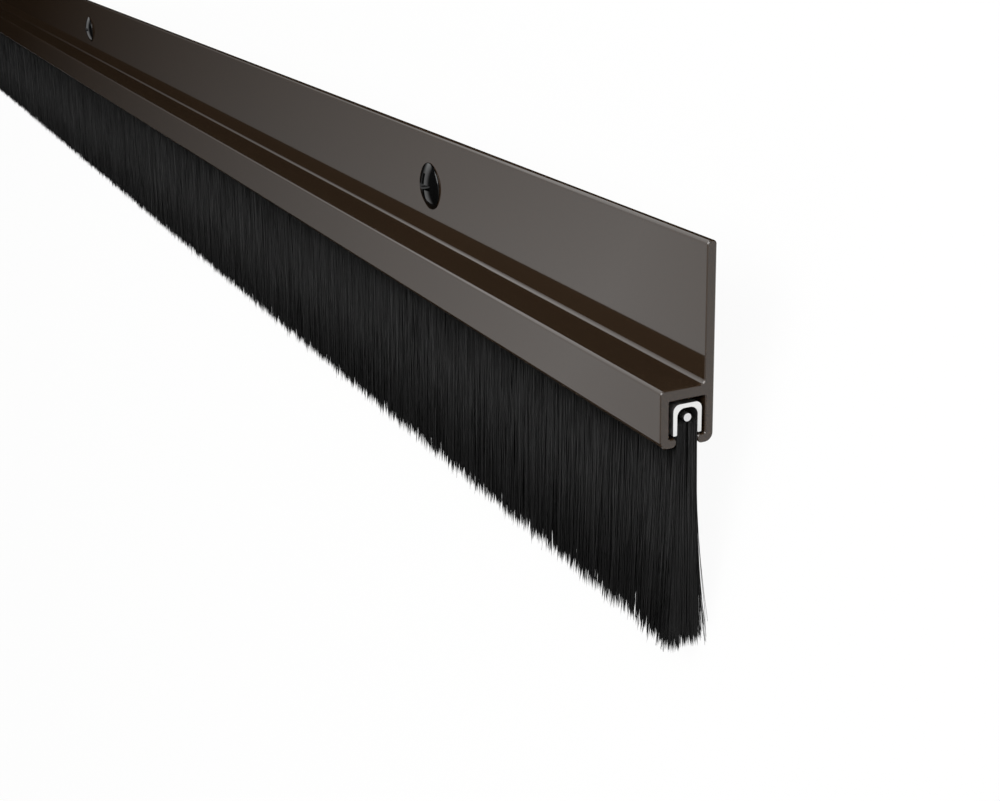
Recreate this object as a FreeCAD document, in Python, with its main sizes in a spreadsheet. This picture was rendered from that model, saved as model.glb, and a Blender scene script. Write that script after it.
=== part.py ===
"""Brush seal strip: extruded holder, brush insert and four screws, lying on its back as it comes to rest.

Every piece is first modelled as the strip is used: X runs along the strip, Y is up the door, and Z is out
from the door's face, with Z = 0 on the holder's flat back and Y = 0 at the bottom of its lips.  The whole
strip is then laid down on its back.  The screws stand out behind it, so it leans: it rests on the screw
tips and on the back edge of the bristle tips.
"""
import FreeCAD, Part
import math
import os
import Sketcher

# Driving sizes in millimetres, and one angle in degrees
SIZES = {
    "strip_length": 914.4,
    "hole_count": 4,
    "hole_end_margin": 76.2,
    "flange_rise": 15.9,
    "flange_thickness": 1.2,
    "flange_top_round": 0.55,
    "channel_depth": 6.75,
    "channel_height": 6.8,
    "channel_front_wall": 1.15,
    "channel_back_wall": 1.05,
    "channel_roof": 1.35,
    "ledge_round": 0.5,
    "ledge_fillet": 0.6,
    "cavity_corner": 0.15,
    "lip_thickness": 1.1,
    "lip_heel_round": 1.0,
    "lip_toe_round": 0.65,
    "lip_inner_round": 0.4,
    "lip_reach": 0.975,
    "end_deburr": 0.12,
    "backing_side_play": 0.49,
    "backing_top_play": 0.465,
    "backing_foot_play": 0.3,
    "backing_metal": 0.495,
    "backing_outer_round": 0.8,
    "backing_inner_round": 0.95,
    "backing_edge_round": 0.12,
    "wire_diameter": 0.94,
    "wire_drop": 0.63,
    "wire_clearance": 0.03,
    "bristle_grip_clearance": 0.05,
    "bristle_slot_clearance": 0.15,
    "bristle_length": 25.4,
    "bristle_tip_spread": 4.6,
    "screw_length": 12.7,
    "screw_head_diameter": 6.9,
    "screw_head_edge": 0.15,
    "screw_dome_rise": 1.05,
    "screw_cone_angle": 82.0,
    "screw_shank_diameter": 3.5,
    "screw_point_length": 3.2,
    "screw_point_diameter": 0.4,
    "recess_span": 4.5,
    "recess_blade": 0.85,
    "recess_depth": 1.7,
    "recess_taper": 12.0,
    "hole_clearance": 0.04,
}

# Levels and widths that follow from the driving sizes
HOLDER_TOP = "(Sizes.channel_height + Sizes.flange_rise)"
CAVITY_TOP = "(Sizes.channel_height - Sizes.channel_roof)"
CAVITY_FRONT = "(Sizes.channel_depth - Sizes.channel_front_wall)"
CAVITY_WIDTH = f"({CAVITY_FRONT} - Sizes.channel_back_wall)"
SLOT_CENTRE = f"(Sizes.channel_back_wall + {CAVITY_WIDTH} / 2)"
SLOT_BACK = "(Sizes.channel_back_wall + Sizes.lip_reach)"
SLOT_FRONT = f"({CAVITY_FRONT} - Sizes.lip_reach)"
BACKING_TOP = f"({CAVITY_TOP} - Sizes.backing_top_play)"
BACKING_FOOT = "(Sizes.lip_thickness + Sizes.backing_foot_play)"
BACKING_BACK = "(Sizes.channel_back_wall + Sizes.backing_side_play)"
BACKING_FRONT = f"({CAVITY_FRONT} - Sizes.backing_side_play)"
BACKING_ROOF = f"({BACKING_TOP} - Sizes.backing_metal)"
BACKING_INSIDE = f"({BACKING_FRONT} - {BACKING_BACK} - 2 * Sizes.backing_metal)"
BACKING_INNER_ROUND = f"min(Sizes.backing_inner_round; 0.45 * {BACKING_INSIDE})"
GRIP_TOP = f"({BACKING_ROOF} - Sizes.bristle_grip_clearance)"
GRIP_BACK = f"({BACKING_BACK} + Sizes.backing_metal + Sizes.bristle_grip_clearance)"
GRIP_FRONT = f"({BACKING_FRONT} - Sizes.backing_metal - Sizes.bristle_grip_clearance)"
GRIP_ROUND = f"({BACKING_INNER_ROUND} - Sizes.bristle_grip_clearance)"
NECK_BACK = f"({SLOT_BACK} + Sizes.bristle_slot_clearance)"
NECK_FRONT = f"({SLOT_FRONT} - Sizes.bristle_slot_clearance)"
TIP_BACK = f"({SLOT_CENTRE} - Sizes.bristle_tip_spread / 2)"
TIP_FRONT = f"({SLOT_CENTRE} + Sizes.bristle_tip_spread / 2)"
WIRE_LEVEL = f"({GRIP_TOP} - Sizes.wire_drop - Sizes.wire_diameter / 2)"
HOLE_LEVEL = "(Sizes.channel_height + Sizes.flange_rise / 2)"
HOLE_FIRST = "(Sizes.strip_length / 2 - Sizes.hole_end_margin)"
HOLE_ROW = "(Sizes.strip_length - 2 * Sizes.hole_end_margin)"
HEAD_RADIUS = "(Sizes.screw_head_diameter / 2)"
SHANK_RADIUS = "(Sizes.screw_shank_diameter / 2)"
CONE_DEPTH = f"(({HEAD_RADIUS} - {SHANK_RADIUS}) / tan(Sizes.screw_cone_angle * 1 deg / 2))"
DOME_TOP = "(Sizes.screw_head_edge + Sizes.screw_dome_rise)"

doc = FreeCAD.newDocument("BrushSealStrip")
sheet = doc.addObject("Spreadsheet::Sheet", "Sizes")
for row, (alias, size) in enumerate(SIZES.items(), start=1):
    sheet.set(f"A{row}", alias.replace("_", " "))
    sheet.set(f"B{row}", str(size))
    sheet.setAlias(f"B{row}", alias)
doc.recompute()


def value(expression):
    """The number that an expression of the sheet's sizes comes to."""
    result = sheet.evalExpression(expression)
    return float(getattr(result, "Value", result))


def new_body(name):
    """An empty body whose Label names its file."""
    body = doc.addObject("PartDesign::Body", name)
    body.Label = name
    return body


def origin_feature(body, role):
    """One of the body's own origin planes or axes."""
    return next(item for item in body.Origin.OriginFeatures if item.Role == role)


def sketch_on(body, name, plane, lift=None):
    """A sketch on an origin plane of the body, lifted off it by an expression if one is given."""
    sketch = body.newObject("Sketcher::SketchObject", name)
    sketch.AttachmentSupport = [(origin_feature(body, plane), "")]
    sketch.MapMode = "FlatFace"
    if lift is not None:
        sketch.setExpression(".AttachmentOffset.Base.z", lift)
    return sketch


def pin_point(sketch, geometry, vertex, across, up):
    """Ties one point of a sketch to two expressions, or to an axis where the expression is 0."""
    places = (("DistanceX", -2, across), ("DistanceY", -1, up))
    for kind, axis, expression in places:
        if expression == "0":
            sketch.addConstraint(Sketcher.Constraint("PointOnObject", geometry, vertex, axis))
        else:
            size = value(expression)
            index = sketch.addConstraint(Sketcher.Constraint(kind, -1, 1, geometry, vertex, size))
            sketch.setExpression(f"Constraints[{index}]", expression)


def outline(sketch, corners, arcs=None):
    """Draws a closed outline through corners tied to expressions.

    arcs maps the index of a side's first corner to the centre of the arc that takes the line's place,
    which runs anticlockwise from that corner.
    """
    points = [FreeCAD.Vector(value(across), value(up), 0) for across, up in corners]
    sides = []
    for index, start in enumerate(points):
        end = points[(index + 1) % len(points)]
        if arcs and index in arcs:
            centre = FreeCAD.Vector(*arcs[index], 0)
            angles = [math.atan2(point.y - centre.y, point.x - centre.x) for point in (start, end)]
            circle = Part.Circle(centre, FreeCAD.Vector(0, 0, 1), (start - centre).Length)
            sides.append(sketch.addGeometry(Part.ArcOfCircle(circle, *angles)))
        else:
            sides.append(sketch.addGeometry(Part.LineSegment(start, end)))
    for side, follower in zip(sides, sides[1:] + sides[:1]):
        sketch.addConstraint(Sketcher.Constraint("Coincident", side, 2, follower, 1))
    for side, (across, up) in zip(sides, corners):
        pin_point(sketch, side, 1, across, up)
    return sides


def pad_along_strip(body, name, sketch):
    """Runs a section along the whole strip, half to each side of its middle."""
    pad = body.newObject("PartDesign::Pad", name)
    pad.Profile = sketch
    pad.SideType = "Symmetric"
    pad.setExpression("Length", "Sizes.strip_length")
    doc.recompute()
    return pad


def long_edges(shape, places):
    """The names of the edges along X that pass through the given (Y, Z) places."""
    names = []
    for number, edge in enumerate(shape.Edges, start=1):
        along = abs(edge.tangentAt(edge.FirstParameter).x) > 0.999
        point = edge.Vertexes[0].Point
        near = any(math.hypot(point.y - up, point.z - out) < 1e-4 for up, out in places)
        if along and near:
            names.append(f"Edge{number}")
    return names


def round_edges(body, name, base, radius, corners):
    """Rounds the strip's long edges at the given corners, each a pair of expressions."""
    places = [(value(up), value(out)) for up, out in corners]
    names = long_edges(base.Shape, places)
    if len(names) != len(places):
        raise RuntimeError(f"{name}: {len(names)} edges found for {len(places)} corners")
    fillet = body.newObject("PartDesign::Fillet", name)
    fillet.Base = (base, names)
    fillet.setExpression("Radius", radius)
    doc.recompute()
    return fillet


def deburr_ends(body, base):
    """Takes the sharp edge off both cut ends of the holder."""
    names = [f"Edge{number}" for number, edge in enumerate(base.Shape.Edges, start=1)
             if edge.BoundBox.XLength < 1e-4]
    chamfer = body.newObject("PartDesign::Chamfer", "EndDeburr")
    chamfer.Base = (base, names)
    chamfer.setExpression("Size", "Sizes.end_deburr")
    doc.recompute()
    return chamfer


def make_carrier():
    """The extruded holder: screw flange, channel with in-turned lips, and four countersunk holes."""
    body = new_body("carrier")
    section = sketch_on(body, "HolderSection", "YZ_Plane")
    outline(section, [
        ("0", "0"),
        (HOLDER_TOP, "0"),
        (HOLDER_TOP, "Sizes.flange_thickness"),
        ("Sizes.channel_height", "Sizes.flange_thickness"),
        ("Sizes.channel_height", "Sizes.channel_depth"),
        ("0", "Sizes.channel_depth"),
        ("0", SLOT_FRONT),
        ("Sizes.lip_thickness", SLOT_FRONT),
        ("Sizes.lip_thickness", CAVITY_FRONT),
        (CAVITY_TOP, CAVITY_FRONT),
        (CAVITY_TOP, "Sizes.channel_back_wall"),
        ("Sizes.lip_thickness", "Sizes.channel_back_wall"),
        ("Sizes.lip_thickness", SLOT_BACK),
        ("0", SLOT_BACK),
    ])
    solid = pad_along_strip(body, "HolderExtrusion", section)
    solid = round_edges(body, "FlangeTopRound", solid, "Sizes.flange_top_round",
                        [(HOLDER_TOP, "0"), (HOLDER_TOP, "Sizes.flange_thickness")])
    solid = round_edges(body, "LedgeRound", solid, "Sizes.ledge_round",
                        [("Sizes.channel_height", "Sizes.channel_depth")])
    solid = round_edges(body, "LedgeFillet", solid, "Sizes.ledge_fillet",
                        [("Sizes.channel_height", "Sizes.flange_thickness")])
    solid = round_edges(body, "LipHeelRound", solid, "Sizes.lip_heel_round",
                        [("0", "0"), ("0", "Sizes.channel_depth")])
    solid = round_edges(body, "LipToeRound", solid, "Sizes.lip_toe_round",
                        [("0", SLOT_FRONT), ("0", SLOT_BACK)])
    solid = round_edges(body, "LipInnerRound", solid, "Sizes.lip_inner_round",
                        [("Sizes.lip_thickness", SLOT_FRONT), ("Sizes.lip_thickness", SLOT_BACK)])
    solid = round_edges(body, "CavityCorner", solid, "Sizes.cavity_corner",
                        [(CAVITY_TOP, CAVITY_FRONT), (CAVITY_TOP, "Sizes.channel_back_wall"),
                         ("Sizes.lip_thickness", CAVITY_FRONT),
                         ("Sizes.lip_thickness", "Sizes.channel_back_wall")])
    solid = deburr_ends(body, solid)
    drill_screw_holes(body, solid)
    return body


def drill_screw_holes(body, solid):
    """Countersinks one hole near the strip's +X end and repeats it along the flange."""
    before = solid.Shape.Volume
    cutter = sketch_on(body, "CountersinkSection", "XZ_Plane")
    cutter.setExpression(".AttachmentOffset.Base.z", f"-{HOLE_LEVEL}")
    mouth = f"({HOLE_FIRST} - {HEAD_RADIUS} - Sizes.hole_clearance)"
    throat = f"({HOLE_FIRST} - {HEAD_RADIUS} - Sizes.hole_clearance" \
             f" + Sizes.flange_thickness * tan(Sizes.screw_cone_angle * 1 deg / 2))"
    sides = outline(cutter, [
        (HOLE_FIRST, "0"),
        (HOLE_FIRST, "Sizes.flange_thickness"),
        (mouth, "Sizes.flange_thickness"),
        (throat, "0"),
    ])
    groove = body.newObject("PartDesign::Groove", "Countersink")
    groove.Profile = cutter
    groove.ReferenceAxis = (cutter, [f"Edge{sides[0] + 1}"])
    groove.Angle = 360
    doc.recompute()
    pattern = body.newObject("PartDesign::LinearPattern", "ScrewHoles")
    pattern.Originals = [groove]
    pattern.Direction = (origin_feature(body, "X_Axis"), [""])
    pattern.Reversed = True
    pattern.setExpression("Length", HOLE_ROW)
    pattern.setExpression("Occurrences", "Sizes.hole_count")
    body.Tip = pattern
    doc.recompute()
    cut = before - pattern.Shape.Volume
    large = value(HEAD_RADIUS) + value("Sizes.hole_clearance")
    small = large - value("Sizes.flange_thickness * tan(Sizes.screw_cone_angle * 1 deg / 2)")
    cone = math.pi / 3 * value("Sizes.flange_thickness") * (large ** 2 + large * small + small ** 2)
    expected = cone * round(value("Sizes.hole_count"))
    if abs(cut - expected) > 0.01 * expected:
        raise RuntimeError(f"the screw holes took {cut:.1f} mm3 away, not {expected:.1f}")


def make_brush_channel():
    """The inverted U of thin steel that holds the bristles and hangs on the holder's lips."""
    body = new_body("brush_channel")
    section = sketch_on(body, "BackingSection", "YZ_Plane")
    inner_back = f"({BACKING_BACK} + Sizes.backing_metal)"
    inner_front = f"({BACKING_FRONT} - Sizes.backing_metal)"
    outline(section, [
        (BACKING_FOOT, BACKING_BACK),
        (BACKING_TOP, BACKING_BACK),
        (BACKING_TOP, BACKING_FRONT),
        (BACKING_FOOT, BACKING_FRONT),
        (BACKING_FOOT, inner_front),
        (BACKING_ROOF, inner_front),
        (BACKING_ROOF, inner_back),
        (BACKING_FOOT, inner_back),
    ])
    solid = pad_along_strip(body, "BackingStrip", section)
    solid = round_edges(body, "BackingOuterRound", solid, "Sizes.backing_outer_round",
                        [(BACKING_TOP, BACKING_BACK), (BACKING_TOP, BACKING_FRONT)])
    solid = round_edges(body, "BackingInnerRound", solid, BACKING_INNER_ROUND,
                        [(BACKING_ROOF, inner_back), (BACKING_ROOF, inner_front)])
    round_edges(body, "BackingEdgeRound", solid, "Sizes.backing_edge_round",
                [(BACKING_FOOT, BACKING_BACK), (BACKING_FOOT, BACKING_FRONT),
                 (BACKING_FOOT, inner_back), (BACKING_FOOT, inner_front)])
    return body


def wire_circle(sketch, radius):
    """A circle round the core wire's centre, in a section of the strip."""
    centre = FreeCAD.Vector(value(WIRE_LEVEL), value(SLOT_CENTRE), 0)
    geometry = sketch.addGeometry(Part.Circle(centre, FreeCAD.Vector(0, 0, 1), value(radius)))
    pin_point(sketch, geometry, 3, WIRE_LEVEL, SLOT_CENTRE)
    index = sketch.addConstraint(Sketcher.Constraint("Radius", geometry, value(radius)))
    sketch.setExpression(f"Constraints[{index}]", radius)


def make_core_wire():
    """The round wire that the bristles are folded over."""
    body = new_body("core_wire")
    section = sketch_on(body, "WireSection", "YZ_Plane")
    wire_circle(section, "(Sizes.wire_diameter / 2)")
    pad_along_strip(body, "Wire", section)
    return body


def make_bristles():
    """The bristle pack: a fold round the wire, a neck through the slot and a brush that fans out to its tips."""
    body = new_body("bristles")
    grip = sketch_on(body, "FoldSection", "YZ_Plane")
    outline(grip, [
        (BACKING_FOOT, GRIP_BACK),
        (GRIP_TOP, GRIP_BACK),
        (GRIP_TOP, GRIP_FRONT),
        (BACKING_FOOT, GRIP_FRONT),
    ])
    solid = pad_along_strip(body, "Fold", grip)
    solid = round_edges(body, "FoldRound", solid, GRIP_ROUND, [(GRIP_TOP, GRIP_BACK), (GRIP_TOP, GRIP_FRONT)])
    neck = sketch_on(body, "NeckSection", "YZ_Plane")
    outline(neck, [
        ("0", NECK_BACK),
        (BACKING_FOOT, NECK_BACK),
        (BACKING_FOOT, NECK_FRONT),
        ("0", NECK_FRONT),
    ])
    pad_along_strip(body, "Neck", neck)
    brush = sketch_on(body, "BrushSection", "YZ_Plane")
    spread = value(f"({NECK_BACK}) - ({TIP_BACK})")
    length = value("Sizes.bristle_length")
    side_radius = (length ** 2 + spread ** 2) / (2 * spread)
    sides = outline(brush, [
        ("0", NECK_BACK),
        ("-Sizes.bristle_length", TIP_BACK),
        ("-Sizes.bristle_length", TIP_FRONT),
        ("0", NECK_FRONT),
    ], {
        0: (0, value(NECK_BACK) - side_radius),
        2: (0, value(NECK_FRONT) + side_radius),
    })
    for side in (sides[0], sides[2]):
        brush.addConstraint(Sketcher.Constraint("PointOnObject", side, 3, -2))
    pad_along_strip(body, "Brush", brush)
    bore = sketch_on(body, "WireBore", "YZ_Plane")
    wire_circle(bore, "(Sizes.wire_diameter / 2 + Sizes.wire_clearance)")
    pocket = body.newObject("PartDesign::Pocket", "WirePath")
    pocket.Profile = bore
    pocket.Type = "ThroughAll"
    pocket.SideType = "Symmetric"
    doc.recompute()
    return body


def make_screw(number):
    """A raised countersunk screw with a cross recess, its axis along Z and Z = 0 on the flange's face."""
    body = new_body(f"screw_{number}")
    section = sketch_on(body, f"ScrewSection{number}", "XZ_Plane")
    rise = value("Sizes.screw_dome_rise")
    head_radius = value(HEAD_RADIUS)
    dome_radius = (head_radius ** 2 + rise ** 2) / (2 * rise)
    sides = outline(section, [
        ("0", DOME_TOP),
        ("0", "-Sizes.screw_length"),
        ("(Sizes.screw_point_diameter / 2)", "-Sizes.screw_length"),
        (SHANK_RADIUS, "(Sizes.screw_point_length - Sizes.screw_length)"),
        (SHANK_RADIUS, f"-{CONE_DEPTH}"),
        (HEAD_RADIUS, "0"),
        (HEAD_RADIUS, "Sizes.screw_head_edge"),
    ], {6: (0, value(DOME_TOP) - dome_radius)})
    section.addConstraint(Sketcher.Constraint("PointOnObject", sides[6], 3, -2))
    turned = body.newObject("PartDesign::Revolution", f"ScrewTurned{number}")
    turned.Profile = section
    turned.ReferenceAxis = (section, ["V_Axis"])
    turned.Angle = 360
    doc.recompute()
    before = turned.Shape.Volume
    recess = sketch_on(body, f"RecessSection{number}", "XY_Plane", DOME_TOP)
    span = "(Sizes.recess_span / 2)"
    blade = "(Sizes.recess_blade / 2)"
    outline(recess, [
        (span, blade), (blade, blade), (blade, span), (f"-{blade}", span),
        (f"-{blade}", blade), (f"-{span}", blade), (f"-{span}", f"-{blade}"), (f"-{blade}", f"-{blade}"),
        (f"-{blade}", f"-{span}"), (blade, f"-{span}"), (blade, f"-{blade}"), (span, f"-{blade}"),
    ])
    pocket = body.newObject("PartDesign::Pocket", f"Recess{number}")
    pocket.Profile = recess
    pocket.Type = "Length"
    pocket.setExpression("Length", "Sizes.recess_depth")
    pocket.setExpression("TaperAngle", "-Sizes.recess_taper * 1 deg")
    doc.recompute()
    if pocket.Shape.Volume > before - 1.0:
        raise RuntimeError(f"the recess of screw {number} cut nothing")
    return body


def rest_angle():
    """How far the strip leans, in degrees: screw points and bristle tips touch the floor together."""
    point_up = value(HOLE_LEVEL) - value("Sizes.screw_point_diameter / 2")
    point_behind = value("Sizes.screw_length") - value("Sizes.flange_thickness")
    run = point_up + value("Sizes.bristle_length")
    return math.degrees(math.atan2(value(TIP_BACK) + point_behind, run))


def lay_down(bodies, screws):
    """Seats the screws in their holes, leans the whole strip back and centres it on the floor."""
    lean = FreeCAD.Rotation(FreeCAD.Vector(1, 0, 0), rest_angle())
    seats = {}
    steps = round(value("Sizes.hole_count")) - 1
    for index, screw in enumerate(screws):
        along = value(HOLE_FIRST) - index * value(HOLE_ROW) / steps
        seats[screw.Name] = FreeCAD.Vector(along, value(HOLE_LEVEL), value("Sizes.flange_thickness"))
    for body in bodies:
        seat = seats.get(body.Name, FreeCAD.Vector(0, 0, 0))
        body.Placement = FreeCAD.Placement(lean.multVec(seat), lean)
    doc.recompute()
    boxes = [body.Shape.optimalBoundingBox(False) for body in bodies]
    middle = (min(box.YMin for box in boxes) + max(box.YMax for box in boxes)) / 2
    shift = FreeCAD.Vector(0, -middle, -min(box.ZMin for box in boxes))
    for body in bodies:
        body.Placement.Base = body.Placement.Base + shift
    doc.recompute()
    return shift


def check_and_write(bodies):
    """Stops on any failed object or shape, then writes each piece to its own file."""
    for item in doc.Objects:
        if {"Invalid", "Error"} & set(item.State):
            raise RuntimeError(f"{item.Name} failed: {item.State}")
    os.makedirs("parts", exist_ok=True)
    for body in bodies:
        shape = body.Shape
        if shape.isNull() or not shape.isValid() or len(shape.Solids) != 1:
            raise RuntimeError(f"{body.Label} isn't one valid solid")
        shape.exportStep(f"parts/{body.Label}.step")
        box = shape.optimalBoundingBox(False)
        print(f"{body.Label:14s} {shape.Volume:10.2f} mm3  Y {box.YMin:8.3f} {box.YMax:8.3f}"
              f"  Z {box.ZMin:8.3f} {box.ZMax:8.3f}")


screw_bodies = [make_screw(index + 1) for index in range(round(value("Sizes.hole_count")))]
strip_bodies = [make_carrier(), make_brush_channel(), make_core_wire(), make_bristles()] + screw_bodies
floor_shift = lay_down(strip_bodies, screw_bodies)
check_and_write(strip_bodies)
print(f"lean {rest_angle():.3f} degrees, shift Y {floor_shift.y:.4f}, Z {floor_shift.z:.4f}")
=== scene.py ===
"""Looks of the brush seal strip: finishes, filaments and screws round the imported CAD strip.

The strip lies unheld on a level floor.  It leans back on its screw points and on the back edge of its
bristle tips, so every new piece is drawn in the strip's own millimetres (along it, up the door, out
from the door) and laid down the same way.
"""
import logging
import math
from dataclasses import dataclass
from enum import Enum
from typing import Any

import bmesh
import bpy
import numpy as np
from mathutils import Matrix, Vector

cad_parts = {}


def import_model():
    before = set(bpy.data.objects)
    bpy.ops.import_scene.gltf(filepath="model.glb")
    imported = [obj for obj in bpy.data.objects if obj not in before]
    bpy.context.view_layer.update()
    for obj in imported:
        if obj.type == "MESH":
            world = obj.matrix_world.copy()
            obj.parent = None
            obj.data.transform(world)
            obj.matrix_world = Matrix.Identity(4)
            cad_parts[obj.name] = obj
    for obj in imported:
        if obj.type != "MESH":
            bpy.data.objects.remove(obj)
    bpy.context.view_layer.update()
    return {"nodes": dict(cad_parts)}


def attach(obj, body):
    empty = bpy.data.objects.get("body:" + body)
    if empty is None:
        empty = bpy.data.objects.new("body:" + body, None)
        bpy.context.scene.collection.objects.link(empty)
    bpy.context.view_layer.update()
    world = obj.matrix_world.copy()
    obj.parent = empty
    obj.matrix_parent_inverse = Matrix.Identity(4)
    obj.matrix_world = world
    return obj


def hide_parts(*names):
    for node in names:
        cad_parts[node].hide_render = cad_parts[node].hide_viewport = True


LOG = logging.getLogger("brush_seal_strip")
MM = 0.001


class StripEnd(Enum):
    """The strip's two cut ends, by the sign of X."""

    NEAR = 1
    FAR = -1


class SeenBy(Enum):
    """The light paths that see the white background."""

    CAMERA = "Is Camera Ray"
    GLOSSY = "Is Glossy Ray"
    TRANSMISSION = "Is Transmission Ray"


def linear(hex_colour: str) -> tuple[float, float, float, float]:
    """Turns an sRGB hex value into the linear colour that a shader takes.

    Args:
        hex_colour: Six hex digits, as in "5a4a40".

    Returns:
        The linear red, green and blue, with an alpha of 1.
    """
    parts = (int(hex_colour[i:i + 2], 16) / 255 for i in (0, 2, 4))
    red, green, blue = (c / 12.92 if c <= 0.04045 else ((c + 0.055) / 1.055) ** 2.4 for c in parts)
    return red, green, blue, 1.0


def per_metre(size_mm: float) -> float:
    """The pattern scale, on Object coordinates in metres, whose features are size_mm apart."""
    return 1 / (size_mm * MM)


def add_node(tree: bpy.types.NodeTree, kind: str, settings: dict[str, Any] | None = None,
             inputs: dict[str | int, Any] | None = None) -> bpy.types.Node:
    """Adds one shader node with its settings, values and links.

    Args:
        tree: The node tree that gets the node.
        kind: The node's type without the "ShaderNode" that starts it.
        settings: Properties of the node.
        inputs: What each input socket takes: a value, or the output socket that it is linked to.

    Returns:
        The new node.
    """
    node = tree.nodes.new(f"ShaderNode{kind}")
    for name, setting in (settings or {}).items():
        setattr(node, name, setting)
    for key, given in (inputs or {}).items():
        if isinstance(given, bpy.types.NodeSocket):
            tree.links.new(given, node.inputs[key])
        else:
            node.inputs[key].default_value = given
    return node


def new_tree(name: str) -> tuple[bpy.types.Material, bpy.types.NodeTree]:
    """Makes an empty node material.

    Args:
        name: The material's name.

    Returns:
        The material and its node tree.
    """
    material = bpy.data.materials.new(name)
    material.use_nodes = True
    material.node_tree.nodes.clear()
    return material, material.node_tree


@dataclass(frozen=True)
class BronzeAnodisedAluminium:
    """Extruded aluminium, etched and bronze anodised.

    The clear oxide layer gives a sharp neutral reflection over a dyed, etched metal that mostly
    scatters, so faces that see a bright wall look warm grey, and faces that see the strip itself stay
    deep brown.  Real die lines are finer than 0.1 mm, and are drawn coarser so that they show.
    """

    name: str = "bronze_anodised_aluminium"
    bronze: str = "2e2319"
    bronze_pale: str = "33271c"
    edge_tint: str = "606060"
    oxide_ior: float = 1.6
    oxide_roughness: float = 0.05
    metal_share: float = 0.08
    metal_roughness: tuple[float, float] = (0.56, 0.68)
    die_line_mm: float = 0.3
    die_line_run_mm: float = 60.0
    die_line_depth_mm: float = 0.004
    die_line_strength: float = 0.04
    tint_patch_mm: float = 45.0

    def material(self) -> bpy.types.Material:
        """Builds the finish, with faint die lines along the extrusion and a slow drift of its tint."""
        material, tree = new_tree(self.name)
        place = add_node(tree, "TexCoord").outputs["Object"]
        across = per_metre(self.die_line_mm)
        stretched = add_node(tree, "Mapping", {"vector_type": "POINT"}, {
            "Vector": place, "Scale": (per_metre(self.die_line_run_mm), across, across)})
        die_lines = add_node(tree, "TexNoise", None, {
            "Vector": stretched.outputs[0], "Scale": 1.0, "Detail": 2.0, "Roughness": 0.6})
        patches = add_node(tree, "TexNoise", None, {
            "Vector": place, "Scale": per_metre(self.tint_patch_mm), "Detail": 1.0})
        tint = add_node(tree, "Mix", {"data_type": "RGBA"}, {
            0: patches.outputs[0], 6: linear(self.bronze), 7: linear(self.bronze_pale)})
        roughness = add_node(tree, "MapRange", None, {
            "Value": die_lines.outputs[0], "To Min": self.metal_roughness[0],
            "To Max": self.metal_roughness[1]})
        bump = add_node(tree, "Bump", None, {
            "Strength": self.die_line_strength, "Distance": self.die_line_depth_mm * MM,
            "Height": die_lines.outputs[0]})
        shader = add_node(tree, "BsdfPrincipled", None, {
            "Base Color": tint.outputs[2], "Metallic": self.metal_share, "Roughness": roughness.outputs[0],
            "Specular IOR Level": 0.0, "Specular Tint": linear(self.edge_tint),
            "Normal": bump.outputs[0], "Coat Weight": 1.0,
            "Coat Roughness": self.oxide_roughness, "Coat IOR": self.oxide_ior})
        add_node(tree, "OutputMaterial", None, {"Surface": shader.outputs[0]})
        return material


@dataclass(frozen=True)
class GalvanisedSteel:
    """Thin steel strip with a bright zinc coat: nearly white, with soft grey spangle about 2 mm across."""

    name: str = "galvanised_steel"
    zinc: str = "ededec"
    spangle: str = "dcdddd"
    spangle_mm: float = 2.0
    roughness: tuple[float, float] = (0.28, 0.42)

    def material(self) -> bpy.types.Material:
        """Builds the finish, with spangle cells that differ in tone and in roughness."""
        material, tree = new_tree(self.name)
        place = add_node(tree, "TexCoord").outputs["Object"]
        cells = add_node(tree, "TexVoronoi", {"feature": "F1"}, {
            "Vector": place, "Scale": per_metre(self.spangle_mm)})
        tone = add_node(tree, "SeparateColor", None, {0: cells.outputs["Color"]})
        tint = add_node(tree, "Mix", {"data_type": "RGBA"}, {
            0: tone.outputs[0], 6: linear(self.zinc), 7: linear(self.spangle)})
        roughness = add_node(tree, "MapRange", None, {
            "Value": tone.outputs[1], "To Min": self.roughness[0], "To Max": self.roughness[1]})
        shader = add_node(tree, "BsdfPrincipled", None, {
            "Base Color": tint.outputs[2], "Metallic": 1.0, "Roughness": roughness.outputs[0]})
        add_node(tree, "OutputMaterial", None, {"Surface": shader.outputs[0]})
        return material


@dataclass(frozen=True)
class BrightDrawnWire:
    """Bright steel wire, drawn through a die: pale metal with fine scratches along it.

    Real scratches are a few hundredths of a millimetre apart, and are drawn coarser so that they show.
    """

    name: str = "bright_steel_wire"
    steel: str = "e6e6e7"
    steel_dull: str = "d4d4d6"
    scratch_mm: float = 0.12
    scratch_run_mm: float = 8.0
    roughness: tuple[float, float] = (0.22, 0.38)

    def material(self) -> bpy.types.Material:
        """Builds the finish, with drawing scratches in its tone and roughness."""
        material, tree = new_tree(self.name)
        place = add_node(tree, "TexCoord").outputs["Object"]
        across = per_metre(self.scratch_mm)
        stretched = add_node(tree, "Mapping", {"vector_type": "POINT"}, {
            "Vector": place, "Scale": (per_metre(self.scratch_run_mm), across, across)})
        scratches = add_node(tree, "TexNoise", None, {
            "Vector": stretched.outputs[0], "Scale": 1.0, "Detail": 2.0})
        tint = add_node(tree, "Mix", {"data_type": "RGBA"}, {
            0: scratches.outputs[0], 6: linear(self.steel), 7: linear(self.steel_dull)})
        roughness = add_node(tree, "MapRange", None, {
            "Value": scratches.outputs[0], "To Min": self.roughness[0], "To Max": self.roughness[1]})
        shader = add_node(tree, "BsdfPrincipled", None, {
            "Base Color": tint.outputs[2], "Metallic": 1.0, "Roughness": roughness.outputs[0]})
        add_node(tree, "OutputMaterial", None, {"Surface": shader.outputs[0]})
        return material


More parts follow.
